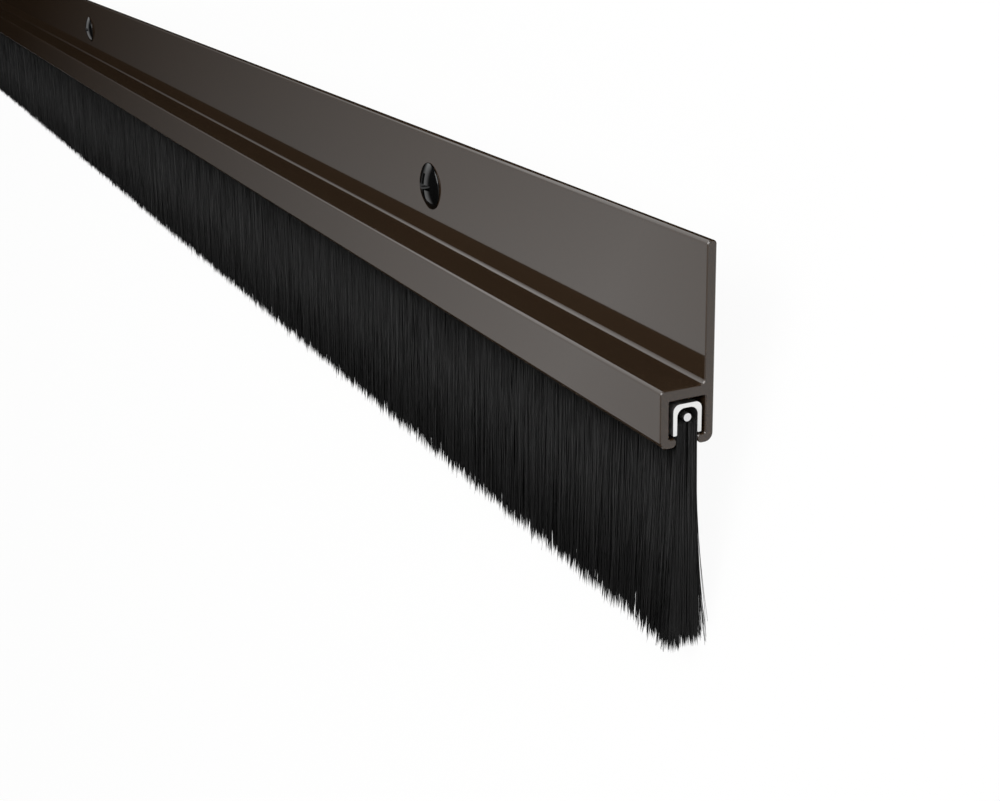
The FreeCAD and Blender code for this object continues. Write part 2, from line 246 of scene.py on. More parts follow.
@dataclass(frozen=True)
class BlackNylon:
    """Extruded nylon filament, black through: a dark core with a soft sheen down each round hair."""

    name: str = "black_nylon"
    black: str = "080808"
    worn_black: str = "0c0c0c"
    nylon_ior: float = 1.53
    gloss: float = 0.23
    roughness: tuple[float, float] = (0.42, 0.58)
    tuft_mm: float = 0.7
    tuft_depth_mm: float = 2.8
    tuft_run_mm: float = 40.0
    tuft_edge: tuple[float, float] = (0.35, 0.7)

    def material(self) -> bpy.types.Material:
        """Builds the finish, with small tufts of hairs that are a little paler than the rest."""
        material, tree = new_tree(self.name)
        place = add_node(tree, "TexCoord").outputs["Object"]
        grid = tuple(per_metre(size) for size in (self.tuft_mm, self.tuft_run_mm, self.tuft_depth_mm))
        stretched = add_node(tree, "Mapping", {"vector_type": "POINT"}, {"Vector": place, "Scale": grid})
        tufts = add_node(tree, "TexNoise", None, {
            "Vector": stretched.outputs[0], "Scale": 1.0, "Detail": 3.0, "Roughness": 0.7})
        share = add_node(tree, "MapRange", {"interpolation_type": "SMOOTHSTEP"}, {
            "Value": tufts.outputs[0], "From Min": self.tuft_edge[0], "From Max": self.tuft_edge[1]})
        tint = add_node(tree, "Mix", {"data_type": "RGBA"}, {
            0: share.outputs[0], 6: linear(self.black), 7: linear(self.worn_black)})
        roughness = add_node(tree, "MapRange", None, {
            "Value": tufts.outputs[0], "To Min": self.roughness[0], "To Max": self.roughness[1]})
        shader = add_node(tree, "BsdfPrincipled", None, {
            "Base Color": tint.outputs[2], "Roughness": roughness.outputs[0], "IOR": self.nylon_ior,
            "Specular IOR Level": self.gloss})
        add_node(tree, "OutputMaterial", None, {"Surface": shader.outputs[0]})
        return material


@dataclass(frozen=True)
class BlackenedSteel:
    """Steel screw, blackened and oiled: near black, with a tight oily gloss that blurs in small spots.

    The real grain is a few hundredths of a millimetre across, and is drawn coarser so that it shows.
    """

    name: str = "blackened_steel"
    black: str = "070707"
    black_pale: str = "0d0d0d"
    roughness: tuple[float, float] = (0.07, 0.15)
    grain_mm: float = 0.25
    grain_depth_mm: float = 0.01
    grain_strength: float = 0.08

    def material(self) -> bpy.types.Material:
        """Builds the finish, with a fine grain in its tone, roughness and surface."""
        material, tree = new_tree(self.name)
        place = add_node(tree, "TexCoord").outputs["Object"]
        grain = add_node(tree, "TexNoise", None, {
            "Vector": place, "Scale": per_metre(self.grain_mm), "Detail": 3.0})
        tint = add_node(tree, "Mix", {"data_type": "RGBA"}, {
            0: grain.outputs[0], 6: linear(self.black), 7: linear(self.black_pale)})
        roughness = add_node(tree, "MapRange", None, {
            "Value": grain.outputs[0], "To Min": self.roughness[0], "To Max": self.roughness[1]})
        bump = add_node(tree, "Bump", None, {
            "Strength": self.grain_strength, "Distance": self.grain_depth_mm * MM,
            "Height": grain.outputs[0]})
        shader = add_node(tree, "BsdfPrincipled", None, {
            "Base Color": tint.outputs[2], "Roughness": roughness.outputs[0], "Normal": bump.outputs[0]})
        add_node(tree, "OutputMaterial", None, {"Surface": shader.outputs[0]})
        return material


@dataclass(frozen=True)
class StripRest:
    """How the strip lies, from the CAD: leaned back, then moved, in degrees and millimetres."""

    lean: float = 17.407
    shift_y: float = 2.1992
    shift_z: float = 6.6206

    def matrix(self) -> Matrix:
        """The matrix from strip millimetres (along, up the door, out from it) to row-frame metres."""
        lean = Matrix.Rotation(math.radians(self.lean), 4, "X")
        return Matrix.Scale(MM, 4) @ Matrix.Translation((0, self.shift_y, self.shift_z)) @ lean


def new_object(name: str, data: bpy.types.ID) -> bpy.types.Object:
    """Makes an object of a mesh, curve, lamp or camera and links it to the scene."""
    made = bpy.data.objects.new(name, data)
    bpy.context.scene.collection.objects.link(made)
    return made


def vertices_in(result: dict[str, list[Any]]) -> list[bmesh.types.BMVert]:
    """The vertices among what a bmesh operator made."""
    return [item for item in result["geom"] if isinstance(item, bmesh.types.BMVert)]


def finished_piece(name: str, bm: bmesh.types.BMesh, material: bpy.types.Material) -> bpy.types.Object:
    """Turns a bmesh in the row frame into an object at the origin.

    Args:
        name: The piece's name.
        bm: Its shape, which is freed.
        material: Its finish.

    Returns:
        The new object.
    """
    mesh = bpy.data.meshes.new(name)
    bm.to_mesh(mesh)
    bm.free()
    mesh.materials.append(material)
    return new_object(name, mesh)


def smooth_sides(piece: bpy.types.Object, sharp_angle: float) -> None:
    """Shades a piece smooth, with edges over sharp_angle degrees kept sharp."""
    piece.data.shade_smooth()
    piece.data.set_sharp_from_angle(angle=math.radians(sharp_angle))


def between(limits: tuple[float, float], share: float | np.ndarray) -> float | np.ndarray:
    """What lies at a share of the way from the first limit to the second."""
    return limits[0] + (limits[1] - limits[0]) * share


def hairs_along(name: str, lines: list[list[tuple[Vector, float]]], radius: float,
                material: bpy.types.Material) -> bpy.types.Object:
    """Draws one hair along each line of points, as thin tubes in one mesh.

    Args:
        name: The piece's name.
        lines: Each hair's points in the row frame, with the share of the full radius at each.
        radius: The full radius, in millimetres.
        material: The hairs' finish.

    Returns:
        The new object.
    """
    curve = bpy.data.curves.new(name, "CURVE")
    curve.dimensions = "3D"
    curve.bevel_depth = radius * MM
    curve.bevel_resolution = 0
    curve.use_fill_caps = True
    for line in lines:
        spline = curve.splines.new("POLY")
        spline.points.add(len(line) - 1)
        for point, (place, share) in zip(spline.points, line):
            point.co = (*place, 1.0)
            point.radius = share
    drawn = new_object(name, curve)
    mesh = bpy.data.meshes.new_from_object(drawn.evaluated_get(bpy.context.evaluated_depsgraph_get()))
    bpy.data.objects.remove(drawn)
    mesh.materials.clear()
    mesh.materials.append(material)
    mesh.shade_smooth()
    return new_object(name, mesh)


def hang_on_strip(piece: bpy.types.Object, node: str) -> None:
    """Rides a piece on the strip's one body and hides the CAD node that it stands for."""
    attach(piece, "root")
    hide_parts(node)
    triangles = sum(len(face.vertices) - 2 for face in piece.data.polygons)
    LOG.info("%s: %d triangles", piece.name, triangles)


@dataclass
class Holder:
    """The extruded holder, with the thin steel channel and the core wire that sit in it."""

    nodes: dict[str, bpy.types.Object]

    def dress(self) -> None:
        """Gives the three rigid CAD nodes their finishes."""
        finishes = {
            "carrier": BronzeAnodisedAluminium(),
            "brush_channel": GalvanisedSteel(),
            "core_wire": BrightDrawnWire(),
        }
        for name, finish in finishes.items():
            material = finish.material()
            for slot in self.nodes[name].material_slots:
                slot.material = material
            LOG.info("%s: kept from the CAD, %s", name, finish.name)


@dataclass
class BristlePack:
    """The filaments, folded over the core wire and spread from the slot to ragged tips.

    Sizes are in strip millimetres.  Levels run up the door from the bottom of the holder's lips, so the
    tips are below 0.  A share runs across the pack, from -1 at its back to 1 at its front.
    """

    rest: StripRest
    material: bpy.types.Material
    # Darker, duller nylon for the folds at the cut ends: painted shade inside the channel
    fold_shade_nylon: bpy.types.Material

    # The pack in the holder, as in the CAD
    strip_length: float = 914.4
    centre: float = 3.325
    neck_half: float = 1.15
    tip_half: float = 2.3
    length: float = 25.4
    root: float = 2.8
    wire_level: float = 3.34
    wire_radius: float = 0.47
    fold_half: float = 1.24

    # The sheets of hairs, one to each section of the strip
    hair_radius: float = 0.052
    sections: int = 9
    hairs_in_seed: int = 10
    doublings: int = 10
    hair_pitch: float = 4.0
    taper_start: float = 0.96
    skin_power: float = 0.6
    bow_power: float = 1.5
    first_seed: int = 100

    # The hairs crowded at a cut end
    crowd_share: float = 0.06
    crowd_run: float = 4.0
    crowd_power: float = 1.5

    # How hairs lean together in tufts and spread towards their tips
    tuft: float = 0.4
    tuft_hash: tuple[float, float, float] = (12.9898, 78.233, 43758.5453)
    tuft_pull: tuple[float, float] = (0.1, 0.4)
    tuft_press: float = 0.3
    tuft_reach: float = 0.3
    lean_spread: float = 0.7
    fan_share: float = 0.9
    fan_spread: float = 0.17
    fan_limit: float = 1.25
    wander: float = 0.1

    # The trim line and the floor under it
    mean_reach: float = 24.1
    reach_spread: float = 1.1
    trim_line: float = 0.15
    trim_back: tuple[float, float] = (0.1, 1.0)
    floor_gap: tuple[float, float] = (0.02, 0.12)

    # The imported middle: its shoulders are pairs of half width and level
    core_inset: float = 0.6
    core_bottom: float = 18.0
    core_levels: int = 9
    core_shoulders: tuple[tuple[float, float], ...] = (
        (0.3, 4.19), (0.7, 3.95), (0.94, 3.4), (0.94, 1.6), (0.85, 1.4))
    core_end: float = 1.9
    wire_clearance: float = 0.03
    core_sharp_angle: float = 50.0

    # The folded hairs that show at a cut end
    folds: int = 150
    folds_seed: int = 7
    fold_inset: tuple[float, float] = (1.0, 2.1)
    fold_gap: tuple[float, float] = (0.1, 0.58)
    fold_squeeze: float = 0.98
    fold_turns: tuple[int, ...] = (0, 35, 65, 90, 115, 145, 180)
    leg_margin: float = 0.12
    leg_foot: float = 0.7
    leg_top: float = 1.8
    fold_jitter: float = 0.02

    # The stray hairs: one in stray_every is at a cut end, at the near and far ends in turn
    strays: int = 450
    strays_seed: int = 31
    stray_every: int = 3
    stray_run: float = 2.5
    stray_radius: float = 0.9
    stray_swing: tuple[float, float] = (0.1, 0.9)
    stray_power: float = 1.6
    stray_drift: float = 0.7
    stray_short: tuple[float, float] = (0.6, 3.6)
    stray_top: float = 0.5
    stray_steps: int = 6
    stray_thinning: float = 0.6

    def half_width(self, level: np.ndarray) -> np.ndarray:
        """Half the pack's thickness at a level: the fold, the neck, then the CAD's fan to the tips."""
        spread = self.tip_half - self.neck_half
        radius = (self.length ** 2 + spread ** 2) / (2 * spread)
        fan = radius - np.sqrt(radius ** 2 - np.clip(level, -self.length, 0) ** 2)
        return self.neck_half + fan + (self.fold_half - self.neck_half) * np.clip(level, 0, 1)

    def hair_sheet(self) -> bpy.types.Mesh:
        """Makes one section's worth of plain upright hairs, set hair_pitch radii apart along X.

        Returns:
            A mesh of pointed prisms of radius 1, one unit tall, that bend_hairs lays along the strip.
        """
        bm = bmesh.new()
        bmesh.ops.create_cone(bm, cap_ends=True, segments=3, radius1=1.0, radius2=0.0, depth=1.0)
        uprights = [edge for edge in bm.edges if abs(edge.verts[0].co.z - edge.verts[1].co.z) > 0.5]
        bmesh.ops.subdivide_edges(bm, edges=uprights, cuts=1, use_grid_fill=True)
        hair = bm.verts[:] + bm.edges[:] + bm.faces[:]
        for number in range(1, self.hairs_in_seed):
            fresh = vertices_in(bmesh.ops.duplicate(bm, geom=hair))
            bmesh.ops.translate(bm, verts=fresh, vec=(self.hair_pitch * number, 0, 0))
        count = self.hairs_in_seed
        for _ in range(self.doublings):
            fresh = vertices_in(bmesh.ops.duplicate(bm, geom=bm.verts[:] + bm.edges[:] + bm.faces[:]))
            bmesh.ops.translate(bm, verts=fresh, vec=(self.hair_pitch * count, 0, 0))
            count *= 2
        mesh = bpy.data.meshes.new("hair_sheet")
        bm.to_mesh(mesh)
        bm.free()
        return mesh

    def root_places(self, rng: np.random.Generator, start: float, run: float) -> np.ndarray:
        """Spreads a section's hairs along the strip, with a few crowded to a cut end that is near.

        Args:
            rng: The section's random numbers.
            start: Where the section starts along the strip.
            run: How long the section is.

        Returns:
            Each hair's place along the strip.
        """
        count = self.hairs_in_seed * 2 ** self.doublings
        along = start + run * (np.arange(count) + rng.random(count)) / count
        for end in StripEnd:
            cut = end.value * self.strip_length / 2
            if abs(cut - (start + run / 2)) < run:
                crowd = rng.random(count) < self.crowd_share
                inset = self.crowd_run * rng.random(count) ** self.crowd_power
                along = np.where(crowd, cut - end.value * inset, along)
        return along

    def tuft_of(self, along: np.ndarray, share: np.ndarray) -> tuple[np.ndarray, np.ndarray, np.ndarray]:
        """Finds the tuft that each hair belongs to.

        Args:
            along: Each hair's place along the strip.
            share: Each hair's place across the pack.

        Returns:
            The tuft's middle along the strip, its middle across the pack, and its own luck, a number
            from 0 to 1 that all its hairs share.
        """
        column = np.floor(along / self.tuft)
        row = np.floor(share * self.tip_half / self.tuft)
        mixed = np.sin(column * self.tuft_hash[0] + row * self.tuft_hash[1]) * self.tuft_hash[2]
        middle_share = np.clip((row + 0.5) * self.tuft / self.tip_half, -1, 1)
        return (column + 0.5) * self.tuft, middle_share, mixed - np.floor(mixed)

    def bend_hairs(self, mesh: bpy.types.Mesh, start: float, run: float, seed: int) -> None:
        """Lays a sheet of hairs along one section of the strip and bends each to its own line.

        Args:
            mesh: A copy of the hair sheet, which is changed.
            start: Where the section starts along the strip.
            run: How long the section is.
            seed: The section's random seed.
        """
        rng = np.random.default_rng(seed)
        along = self.root_places(rng, start, run)
        count = len(along)
        share = rng.uniform(-1, 1, count)
        share = np.sign(share) * np.abs(share) ** self.skin_power
        tuft_x, tuft_share, luck = self.tuft_of(along, share)
        pull = between(self.tuft_pull, luck)
        tip_x = along + pull * (tuft_x - along) + rng.normal(0, self.lean_spread, count)
        tip_x = np.clip(tip_x, -self.strip_length / 2, self.strip_length / 2)
        tip_share = self.fan_share * share + self.tuft_press * pull * (tuft_share - share)
        tip_share = tip_share + rng.normal(0, self.fan_spread, count)
        tip_share = np.clip(tip_share, -self.fan_limit, self.fan_limit)
        trim = self.mean_reach + self.tuft_reach * (luck - 0.5) + rng.normal(0, self.reach_spread, count)
        cut_back = self.length - between(self.trim_back, rng.random(count))
        trim = np.where(trim > self.length - self.trim_line, cut_back, trim)
        wander = rng.normal(0, self.wander, count)
        turn = rng.uniform(0, 2 * math.pi, count)
        lift = between(self.floor_gap, rng.random(count)) * MM

        flat = np.empty(len(mesh.vertices) * 3)
        mesh.vertices.foreach_get("co", flat)
        unit = flat.reshape(-1, 3)
        hair = np.rint(unit[:, 0] / self.hair_pitch).astype(int)
        ring = np.rint((unit[:, 2] + 0.5) * 2).astype(int)
        down = np.array((0.0, self.taper_start, 1.0))[ring]
        level = self.root - down * (self.root + trim[hair])
        bow = down ** self.bow_power
        x = along[hair] + (tip_x - along)[hair] * bow
        thick = share[hair] * (1 - bow) + tip_share[hair] * bow
        out = self.centre + thick * (self.half_width(level) - self.hair_radius) + wander[hair] * bow
        # A cone is half as wide at its middle ring; doubled there, it is a straight hair with a point.
        radius = self.hair_radius * np.array((1.0, 2.0, 1.0))[ring]
        side = unit[:, 0] - self.hair_pitch * hair
        cosine, sine = np.cos(turn[hair]), np.sin(turn[hair])
        x += radius * (side * cosine - unit[:, 1] * sine)
        out += radius * (side * sine + unit[:, 1] * cosine)
        placed = np.column_stack([x, level, out, np.ones_like(x)]) @ np.array(self.rest.matrix()).T
        placed[:, 2] = np.maximum(placed[:, 2], lift[hair])
        mesh.vertices.foreach_set("co", placed[:, :3].ravel())
        mesh.update()

    def make_hairs(self) -> None:
        """Builds the hairs as equal sections along the strip."""
        sheet = self.hair_sheet()
        run = self.strip_length / self.sections
        for number in range(self.sections):
            mesh = sheet.copy()
            self.bend_hairs(mesh, number * run - self.strip_length / 2, run, self.first_seed + number)
            mesh.materials.append(self.material)
            mesh.shade_smooth()
            hang_on_strip(new_object(f"bristle_hairs_{number + 1}", mesh), "bristles")
        bpy.data.meshes.remove(sheet)

    def make_core(self) -> None:
        """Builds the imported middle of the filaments, which hides the light between the outer hairs."""
        bm = bmesh.new()
        levels = np.linspace(0, -self.core_bottom, self.core_levels)
        halves = self.half_width(levels) - self.core_inset
        front = list(self.core_shoulders) + list(zip(halves, levels))
        outline = front + [(-half, level) for half, level in reversed(front)]
        middle = self.strip_length / 2 - self.core_end
        corners = [bm.verts.new((-middle, level, self.centre + half)) for half, level in outline]
        for first, second in zip(corners, corners[1:] + corners[:1]):
            bm.edges.new((first, second))
        bore = bmesh.ops.create_circle(bm, segments=24, radius=self.wire_radius + self.wire_clearance)
        across = Matrix.Rotation(math.pi / 2, 4, "Y")
        wire = Matrix.Translation((-middle, self.wire_level, self.centre))
        bmesh.ops.transform(bm, matrix=wire @ across, verts=bore["verts"])
        bmesh.ops.triangle_fill(bm, edges=bm.edges[:], use_beauty=True)
        moved = vertices_in(bmesh.ops.extrude_face_region(bm, geom=bm.faces[:]))
        bmesh.ops.translate(bm, verts=moved, vec=(2 * middle, 0, 0))
        bmesh.ops.recalc_face_normals(bm, faces=bm.faces[:])
        bmesh.ops.transform(bm, matrix=self.rest.matrix(), verts=bm.verts[:])
        piece = finished_piece("bristle_core", bm, self.material)
        smooth_sides(piece, self.core_sharp_angle)
        hang_on_strip(piece, "bristles")

    def fold_line(self, rng: np.random.Generator, end: StripEnd) -> list[tuple[Vector, float]]:
        """Draws the line of one folded hair: up the front leg, over the wire and down the back leg.

        Args:
            rng: The end's random numbers.
            end: The end that the hair is at.

        Returns:
            The line's points in the row frame, each at the full radius.
        """
        along = end.value * (self.strip_length / 2 - between(self.fold_inset, rng.random()))
        wrap = self.wire_radius + between(self.fold_gap, rng.random())
        leg = min(wrap, self.fold_half - self.leg_margin)
        turns = [math.radians(angle) for angle in self.fold_turns]
        path = [(leg, self.leg_foot), (leg, self.leg_top)]
        path += [(wrap * self.fold_squeeze * math.cos(turn), self.wire_level + wrap * math.sin(turn))
                 for turn in turns]
        path += [(-leg, self.leg_top), (-leg, self.leg_foot)]
        matrix = self.rest.matrix()
        line = []
        for half, level in path:
            jitter = Vector(rng.normal(0, self.fold_jitter, 3))
            line.append((matrix @ (Vector((along, level, self.centre + half)) + jitter), 1.0))
        return line

    def make_folds(self, end: StripEnd) -> None:
        """Builds the hairs that show at a cut end, each folded once over the core wire, in a darker, duller
        nylon that is painted shade for the inside of the channel.
        """
        rng = np.random.default_rng(self.folds_seed + end.value)
        lines = [self.fold_line(rng, end) for _ in range(self.folds)]
        piece = hairs_along(f"bristle_folds_{end.name.lower()}", lines, self.hair_radius, self.fold_shade_nylon)
        hang_on_strip(piece, "bristles")

    def stray_line(self, rng: np.random.Generator, number: int) -> list[tuple[Vector, float]]:
        """Draws the line of one stray hair, which stands off the pack more and more towards its tip.

        Args:
            rng: The strays' random numbers.
            number: Which stray it is.

        Returns:
            The line's points in the row frame, with the share of the full radius at each.
        """
        side = 1 if rng.random() < 0.5 else -1
        along = (rng.random() - 0.5) * self.strip_length
        if number % self.stray_every == 0:
            end = StripEnd.NEAR if number % (2 * self.stray_every) else StripEnd.FAR
            along = end.value * (self.strip_length / 2 - self.stray_run * rng.random() ** 2)
        swing = between(self.stray_swing, rng.random() ** self.stray_power)
        drift = rng.normal(0, self.stray_drift)
        reach = self.length - between(self.stray_short, rng.random())
        matrix = self.rest.matrix()
        line = []
        for step in range(self.stray_steps + 1):
            down = step / self.stray_steps
            level = self.stray_top - down * (self.stray_top + reach)
            half = float(self.half_width(np.array([level]))[0]) + swing * down ** self.stray_power
            place = matrix @ Vector((along + drift * down ** 2, level, self.centre + side * half))
            place.z = max(place.z, 2 * self.hair_radius * MM)
            line.append((place, 1.0 - self.stray_thinning * down ** 2))
        return line

    def make_strays(self) -> None:
        """Builds the few hairs that stand off the pack, each with a slow curve of its own."""
        rng = np.random.default_rng(self.strays_seed)
        lines = [self.stray_line(rng, number) for number in range(self.strays)]
        piece = hairs_along("bristle_strays", lines, self.hair_radius * self.stray_radius, self.material)
        hang_on_strip(piece, "bristles")


@dataclass
class RaisedScrew:
    """A raised countersunk screw with a cross recess and a real thread, its axis out from the flange.

    Sizes are in millimetres, with level 0 on the flange's face and the point at -length.
    """

    rest: StripRest
    material: bpy.types.Material

    # The turned head, core and point; the neck's offsets, out and up, ease the cone into the core
    length: float = 12.7
    head_radius: float = 3.45
    head_edge: float = 0.15
    edge_round: float = 0.05
    dome_rise: float = 1.05
    cone_angle: float = 82.0
    core_radius: float = 1.25
    neck_offsets: tuple[tuple[float, float], ...] = ((0.25, 0.3), (0.0, -0.1))
    point_length: float = 3.2
    point_radius: float = 0.2
    dome_steps: int = 14
    turn_steps: int = 72
    rim_angle: float = 35.0
    sharp_angle: float = 32.0

    # The cross recess, whose floor is a share of its mouth
    recess_half: float = 2.25
    blade_half: float = 0.425
    recess_depth: float = 1.7
    recess_floor: float = 0.45
    blade_floor: float = 0.675
    cutter_rise: float = 0.3

    # The thread, which thins over the point and runs out under the head; its flank is a share of the pitch
    thread_radius: float = 1.75
    pitch: float = 1.27
    thread_start: float = -2.6
    thread_foot: float = 0.5
    ridge_sink: float = 0.12
    ridge_flank: float = 0.36
    ridge_crest: float = 0.03
    point_core: float = 0.16
    point_ridge: float = 0.35
    run_out_start: float = 0.5
    run_out_turns: float = 0.8
    run_out_least: float = 0.1
    thread_steps: int = 28

    # The holes: along the strip, up the door, and the flange's face out from it
    holes_along: tuple[float, ...] = (381.0, 127.0, -127.0, -381.0)
    hole_level: float = 14.75
    seat_level: float = 1.2

    def head_and_core(self) -> bmesh.types.BMesh:
        """Spins the dome, rim, cone, core and point round the screw's axis.

        Returns:
            The turned solid, with Z = 0 on the flange's face.
        """
        bm = bmesh.new()
        top = self.head_edge + self.dome_rise
        sphere = (self.head_radius ** 2 + self.dome_rise ** 2) / (2 * self.dome_rise)
        crown = bm.verts.new((0, 0, top))
        bmesh.ops.spin(bm, geom=[crown], cent=(0, 0, top - sphere), axis=(0, 1, 0),
                       angle=math.asin(self.head_radius / sphere), steps=self.dome_steps)
        rim = max(bm.verts, key=lambda vert: vert.co.x)
        neck = -(self.head_radius - self.core_radius) / math.tan(math.radians(self.cone_angle / 2))
        profile = [
            (self.head_radius, 0.0), *((self.core_radius + out, neck + up) for out, up in self.neck_offsets),
            (self.core_radius, self.point_length - self.length), (self.point_radius, -self.length),
            (0.0, -self.length),
        ]
        last = rim
        for radius, level in profile:
            corner = bm.verts.new((radius, 0, level))
            bm.edges.new((last, corner))
            last = corner
        bmesh.ops.spin(bm, geom=bm.edges[:], cent=(0, 0, 0), axis=(0, 0, 1), angle=2 * math.pi,
                       steps=self.turn_steps, use_merge=True)
        bmesh.ops.remove_doubles(bm, verts=bm.verts[:], dist=1e-4)
        rims = [edge for edge in bm.edges if edge.calc_face_angle(0) > math.radians(self.rim_angle)
                and all(abs(vert.co.xy.length - self.head_radius) < 1e-3 for vert in edge.verts)]
        bmesh.ops.bevel(bm, geom=rims, offset=self.edge_round, affect="EDGES", segments=3,
                        profile=0.5, material=-1)
        bmesh.ops.recalc_face_normals(bm, faces=bm.faces[:])
        return bm

    def recess_cutter(self) -> bmesh.types.BMesh:
        """Extrudes the cross and draws its floor in, as the driver's tapered wings do.

        Returns:
            The solid that is cut from the head.
        """
        bm = bmesh.new()
        wide, blade = self.recess_half, self.blade_half
        quarter = [(wide, -blade), (wide, blade), (blade, blade)]
        mouth = self.head_edge + self.dome_rise + self.cutter_rise
        corners = [Matrix.Rotation(turn * math.pi / 2, 4, "Z") @ Vector((x, y, mouth))
                   for turn in range(4) for x, y in quarter]
        face = bm.faces.new([bm.verts.new(corner) for corner in corners])
        lowered = vertices_in(bmesh.ops.extrude_face_region(bm, geom=[face]))
        bmesh.ops.translate(bm, verts=lowered, vec=(0, 0, -self.recess_depth - self.cutter_rise))
        bmesh.ops.scale(bm, verts=lowered, vec=(self.recess_floor, self.blade_floor, 1))
        bmesh.ops.recalc_face_normals(bm, faces=bm.faces[:])
        return bm

    def thread(self) -> bmesh.types.BMesh:
        """Spins the thread's ridge up the core as a helix and thins it towards the point.

        Returns:
            The ridge, closed at both ends and let into the core.
        """
        bm = bmesh.new()
        bottom = self.thread_foot - self.length
        turns = (self.thread_start - bottom) / self.pitch
        root, flank = self.core_radius - self.ridge_sink, self.ridge_flank * self.pitch
        ridge = [bm.verts.new((radius, 0, bottom + level)) for radius, level in (
            (root, -flank), (self.thread_radius, -self.ridge_crest),
            (self.thread_radius, self.ridge_crest), (root, flank))]
        face = bm.faces.new(ridge)
        steps = round(turns * self.thread_steps)
        bmesh.ops.spin(bm, geom=[face] + face.edges[:] + face.verts[:], cent=(0, 0, 0), axis=(0, 0, 1),
                       angle=turns * 2 * math.pi, dvec=(0, 0, (self.thread_start - bottom) / steps),
                       steps=steps)
        run_out_top = self.thread_start + self.run_out_start
        for vert in bm.verts:
            run_in = min(1.0, max(0.0, (vert.co.z + self.length) / self.point_length))
            run_out = max(0.0, (run_out_top - vert.co.z) / (self.run_out_turns * self.pitch))
            run_out = min(1.0, run_out + self.run_out_least)
            radius = vert.co.xy.length
            core = self.core_radius * between((self.point_core, 1.0), run_in)
            ridge_share = between((self.point_ridge, 1.0), run_in) * run_out
            crest = core + (radius - self.core_radius) * ridge_share
            vert.co.xy = vert.co.xy * (crest / radius)
        bmesh.ops.recalc_face_normals(bm, faces=bm.faces[:])
        return bm

    def build(self, number: int, along: float) -> None:
        """Builds one screw in its hole.

        Args:
            number: Which screw it is, as its CAD node is numbered.
            along: Where its hole is along the strip, in millimetres.
        """
        head = finished_piece("screw_head", self.head_and_core(), self.material)
        cutter = finished_piece("screw_recess", self.recess_cutter(), self.material)
        cut = head.modifiers.new("recess", "BOOLEAN")
        cut.operation, cut.solver, cut.object = "DIFFERENCE", "EXACT", cutter
        bm = bmesh.new()
        bm.from_object(head, bpy.context.evaluated_depsgraph_get())
        ridge = bpy.data.meshes.new("screw_ridge")
        thread = self.thread()
        thread.to_mesh(ridge)
        thread.free()
        bm.from_mesh(ridge)
        seat = self.rest.matrix() @ Matrix.Translation((along, self.hole_level, self.seat_level))
        bmesh.ops.transform(bm, matrix=seat, verts=bm.verts[:])
        piece = finished_piece(f"raised_screw_{number}", bm, self.material)
        for spare in (head, cutter):
            bpy.data.objects.remove(spare)
        bpy.data.meshes.remove(ridge)
        smooth_sides(piece, self.sharp_angle)
        hang_on_strip(piece, f"screw_{number}")


@dataclass(frozen=True)
class SoftLamp:
    """A square soft lamp: its place and aim in metres, its side in metres and its power in watts."""

    name: str
    place: tuple[float, float, float]
    aim: tuple[float, float, float]
    side: float
    watts: float
    mirrored: bool = True

    def hang(self) -> None:
        """Hangs the lamp out of the camera's sight, and out of reflections too unless it is mirrored."""
        data = bpy.data.lights.new(self.name, "AREA")
        data.shape = "SQUARE"
        data.size = self.side
        data.energy = self.watts
        lamp = new_object(self.name, data)
        lamp.location = self.place
        lamp.rotation_mode = "QUATERNION"
        lamp.rotation_quaternion = (Vector(self.aim) - Vector(self.place)).to_track_quat("-Z", "Y")
        lamp.visible_camera = False
        lamp.visible_glossy = self.mirrored


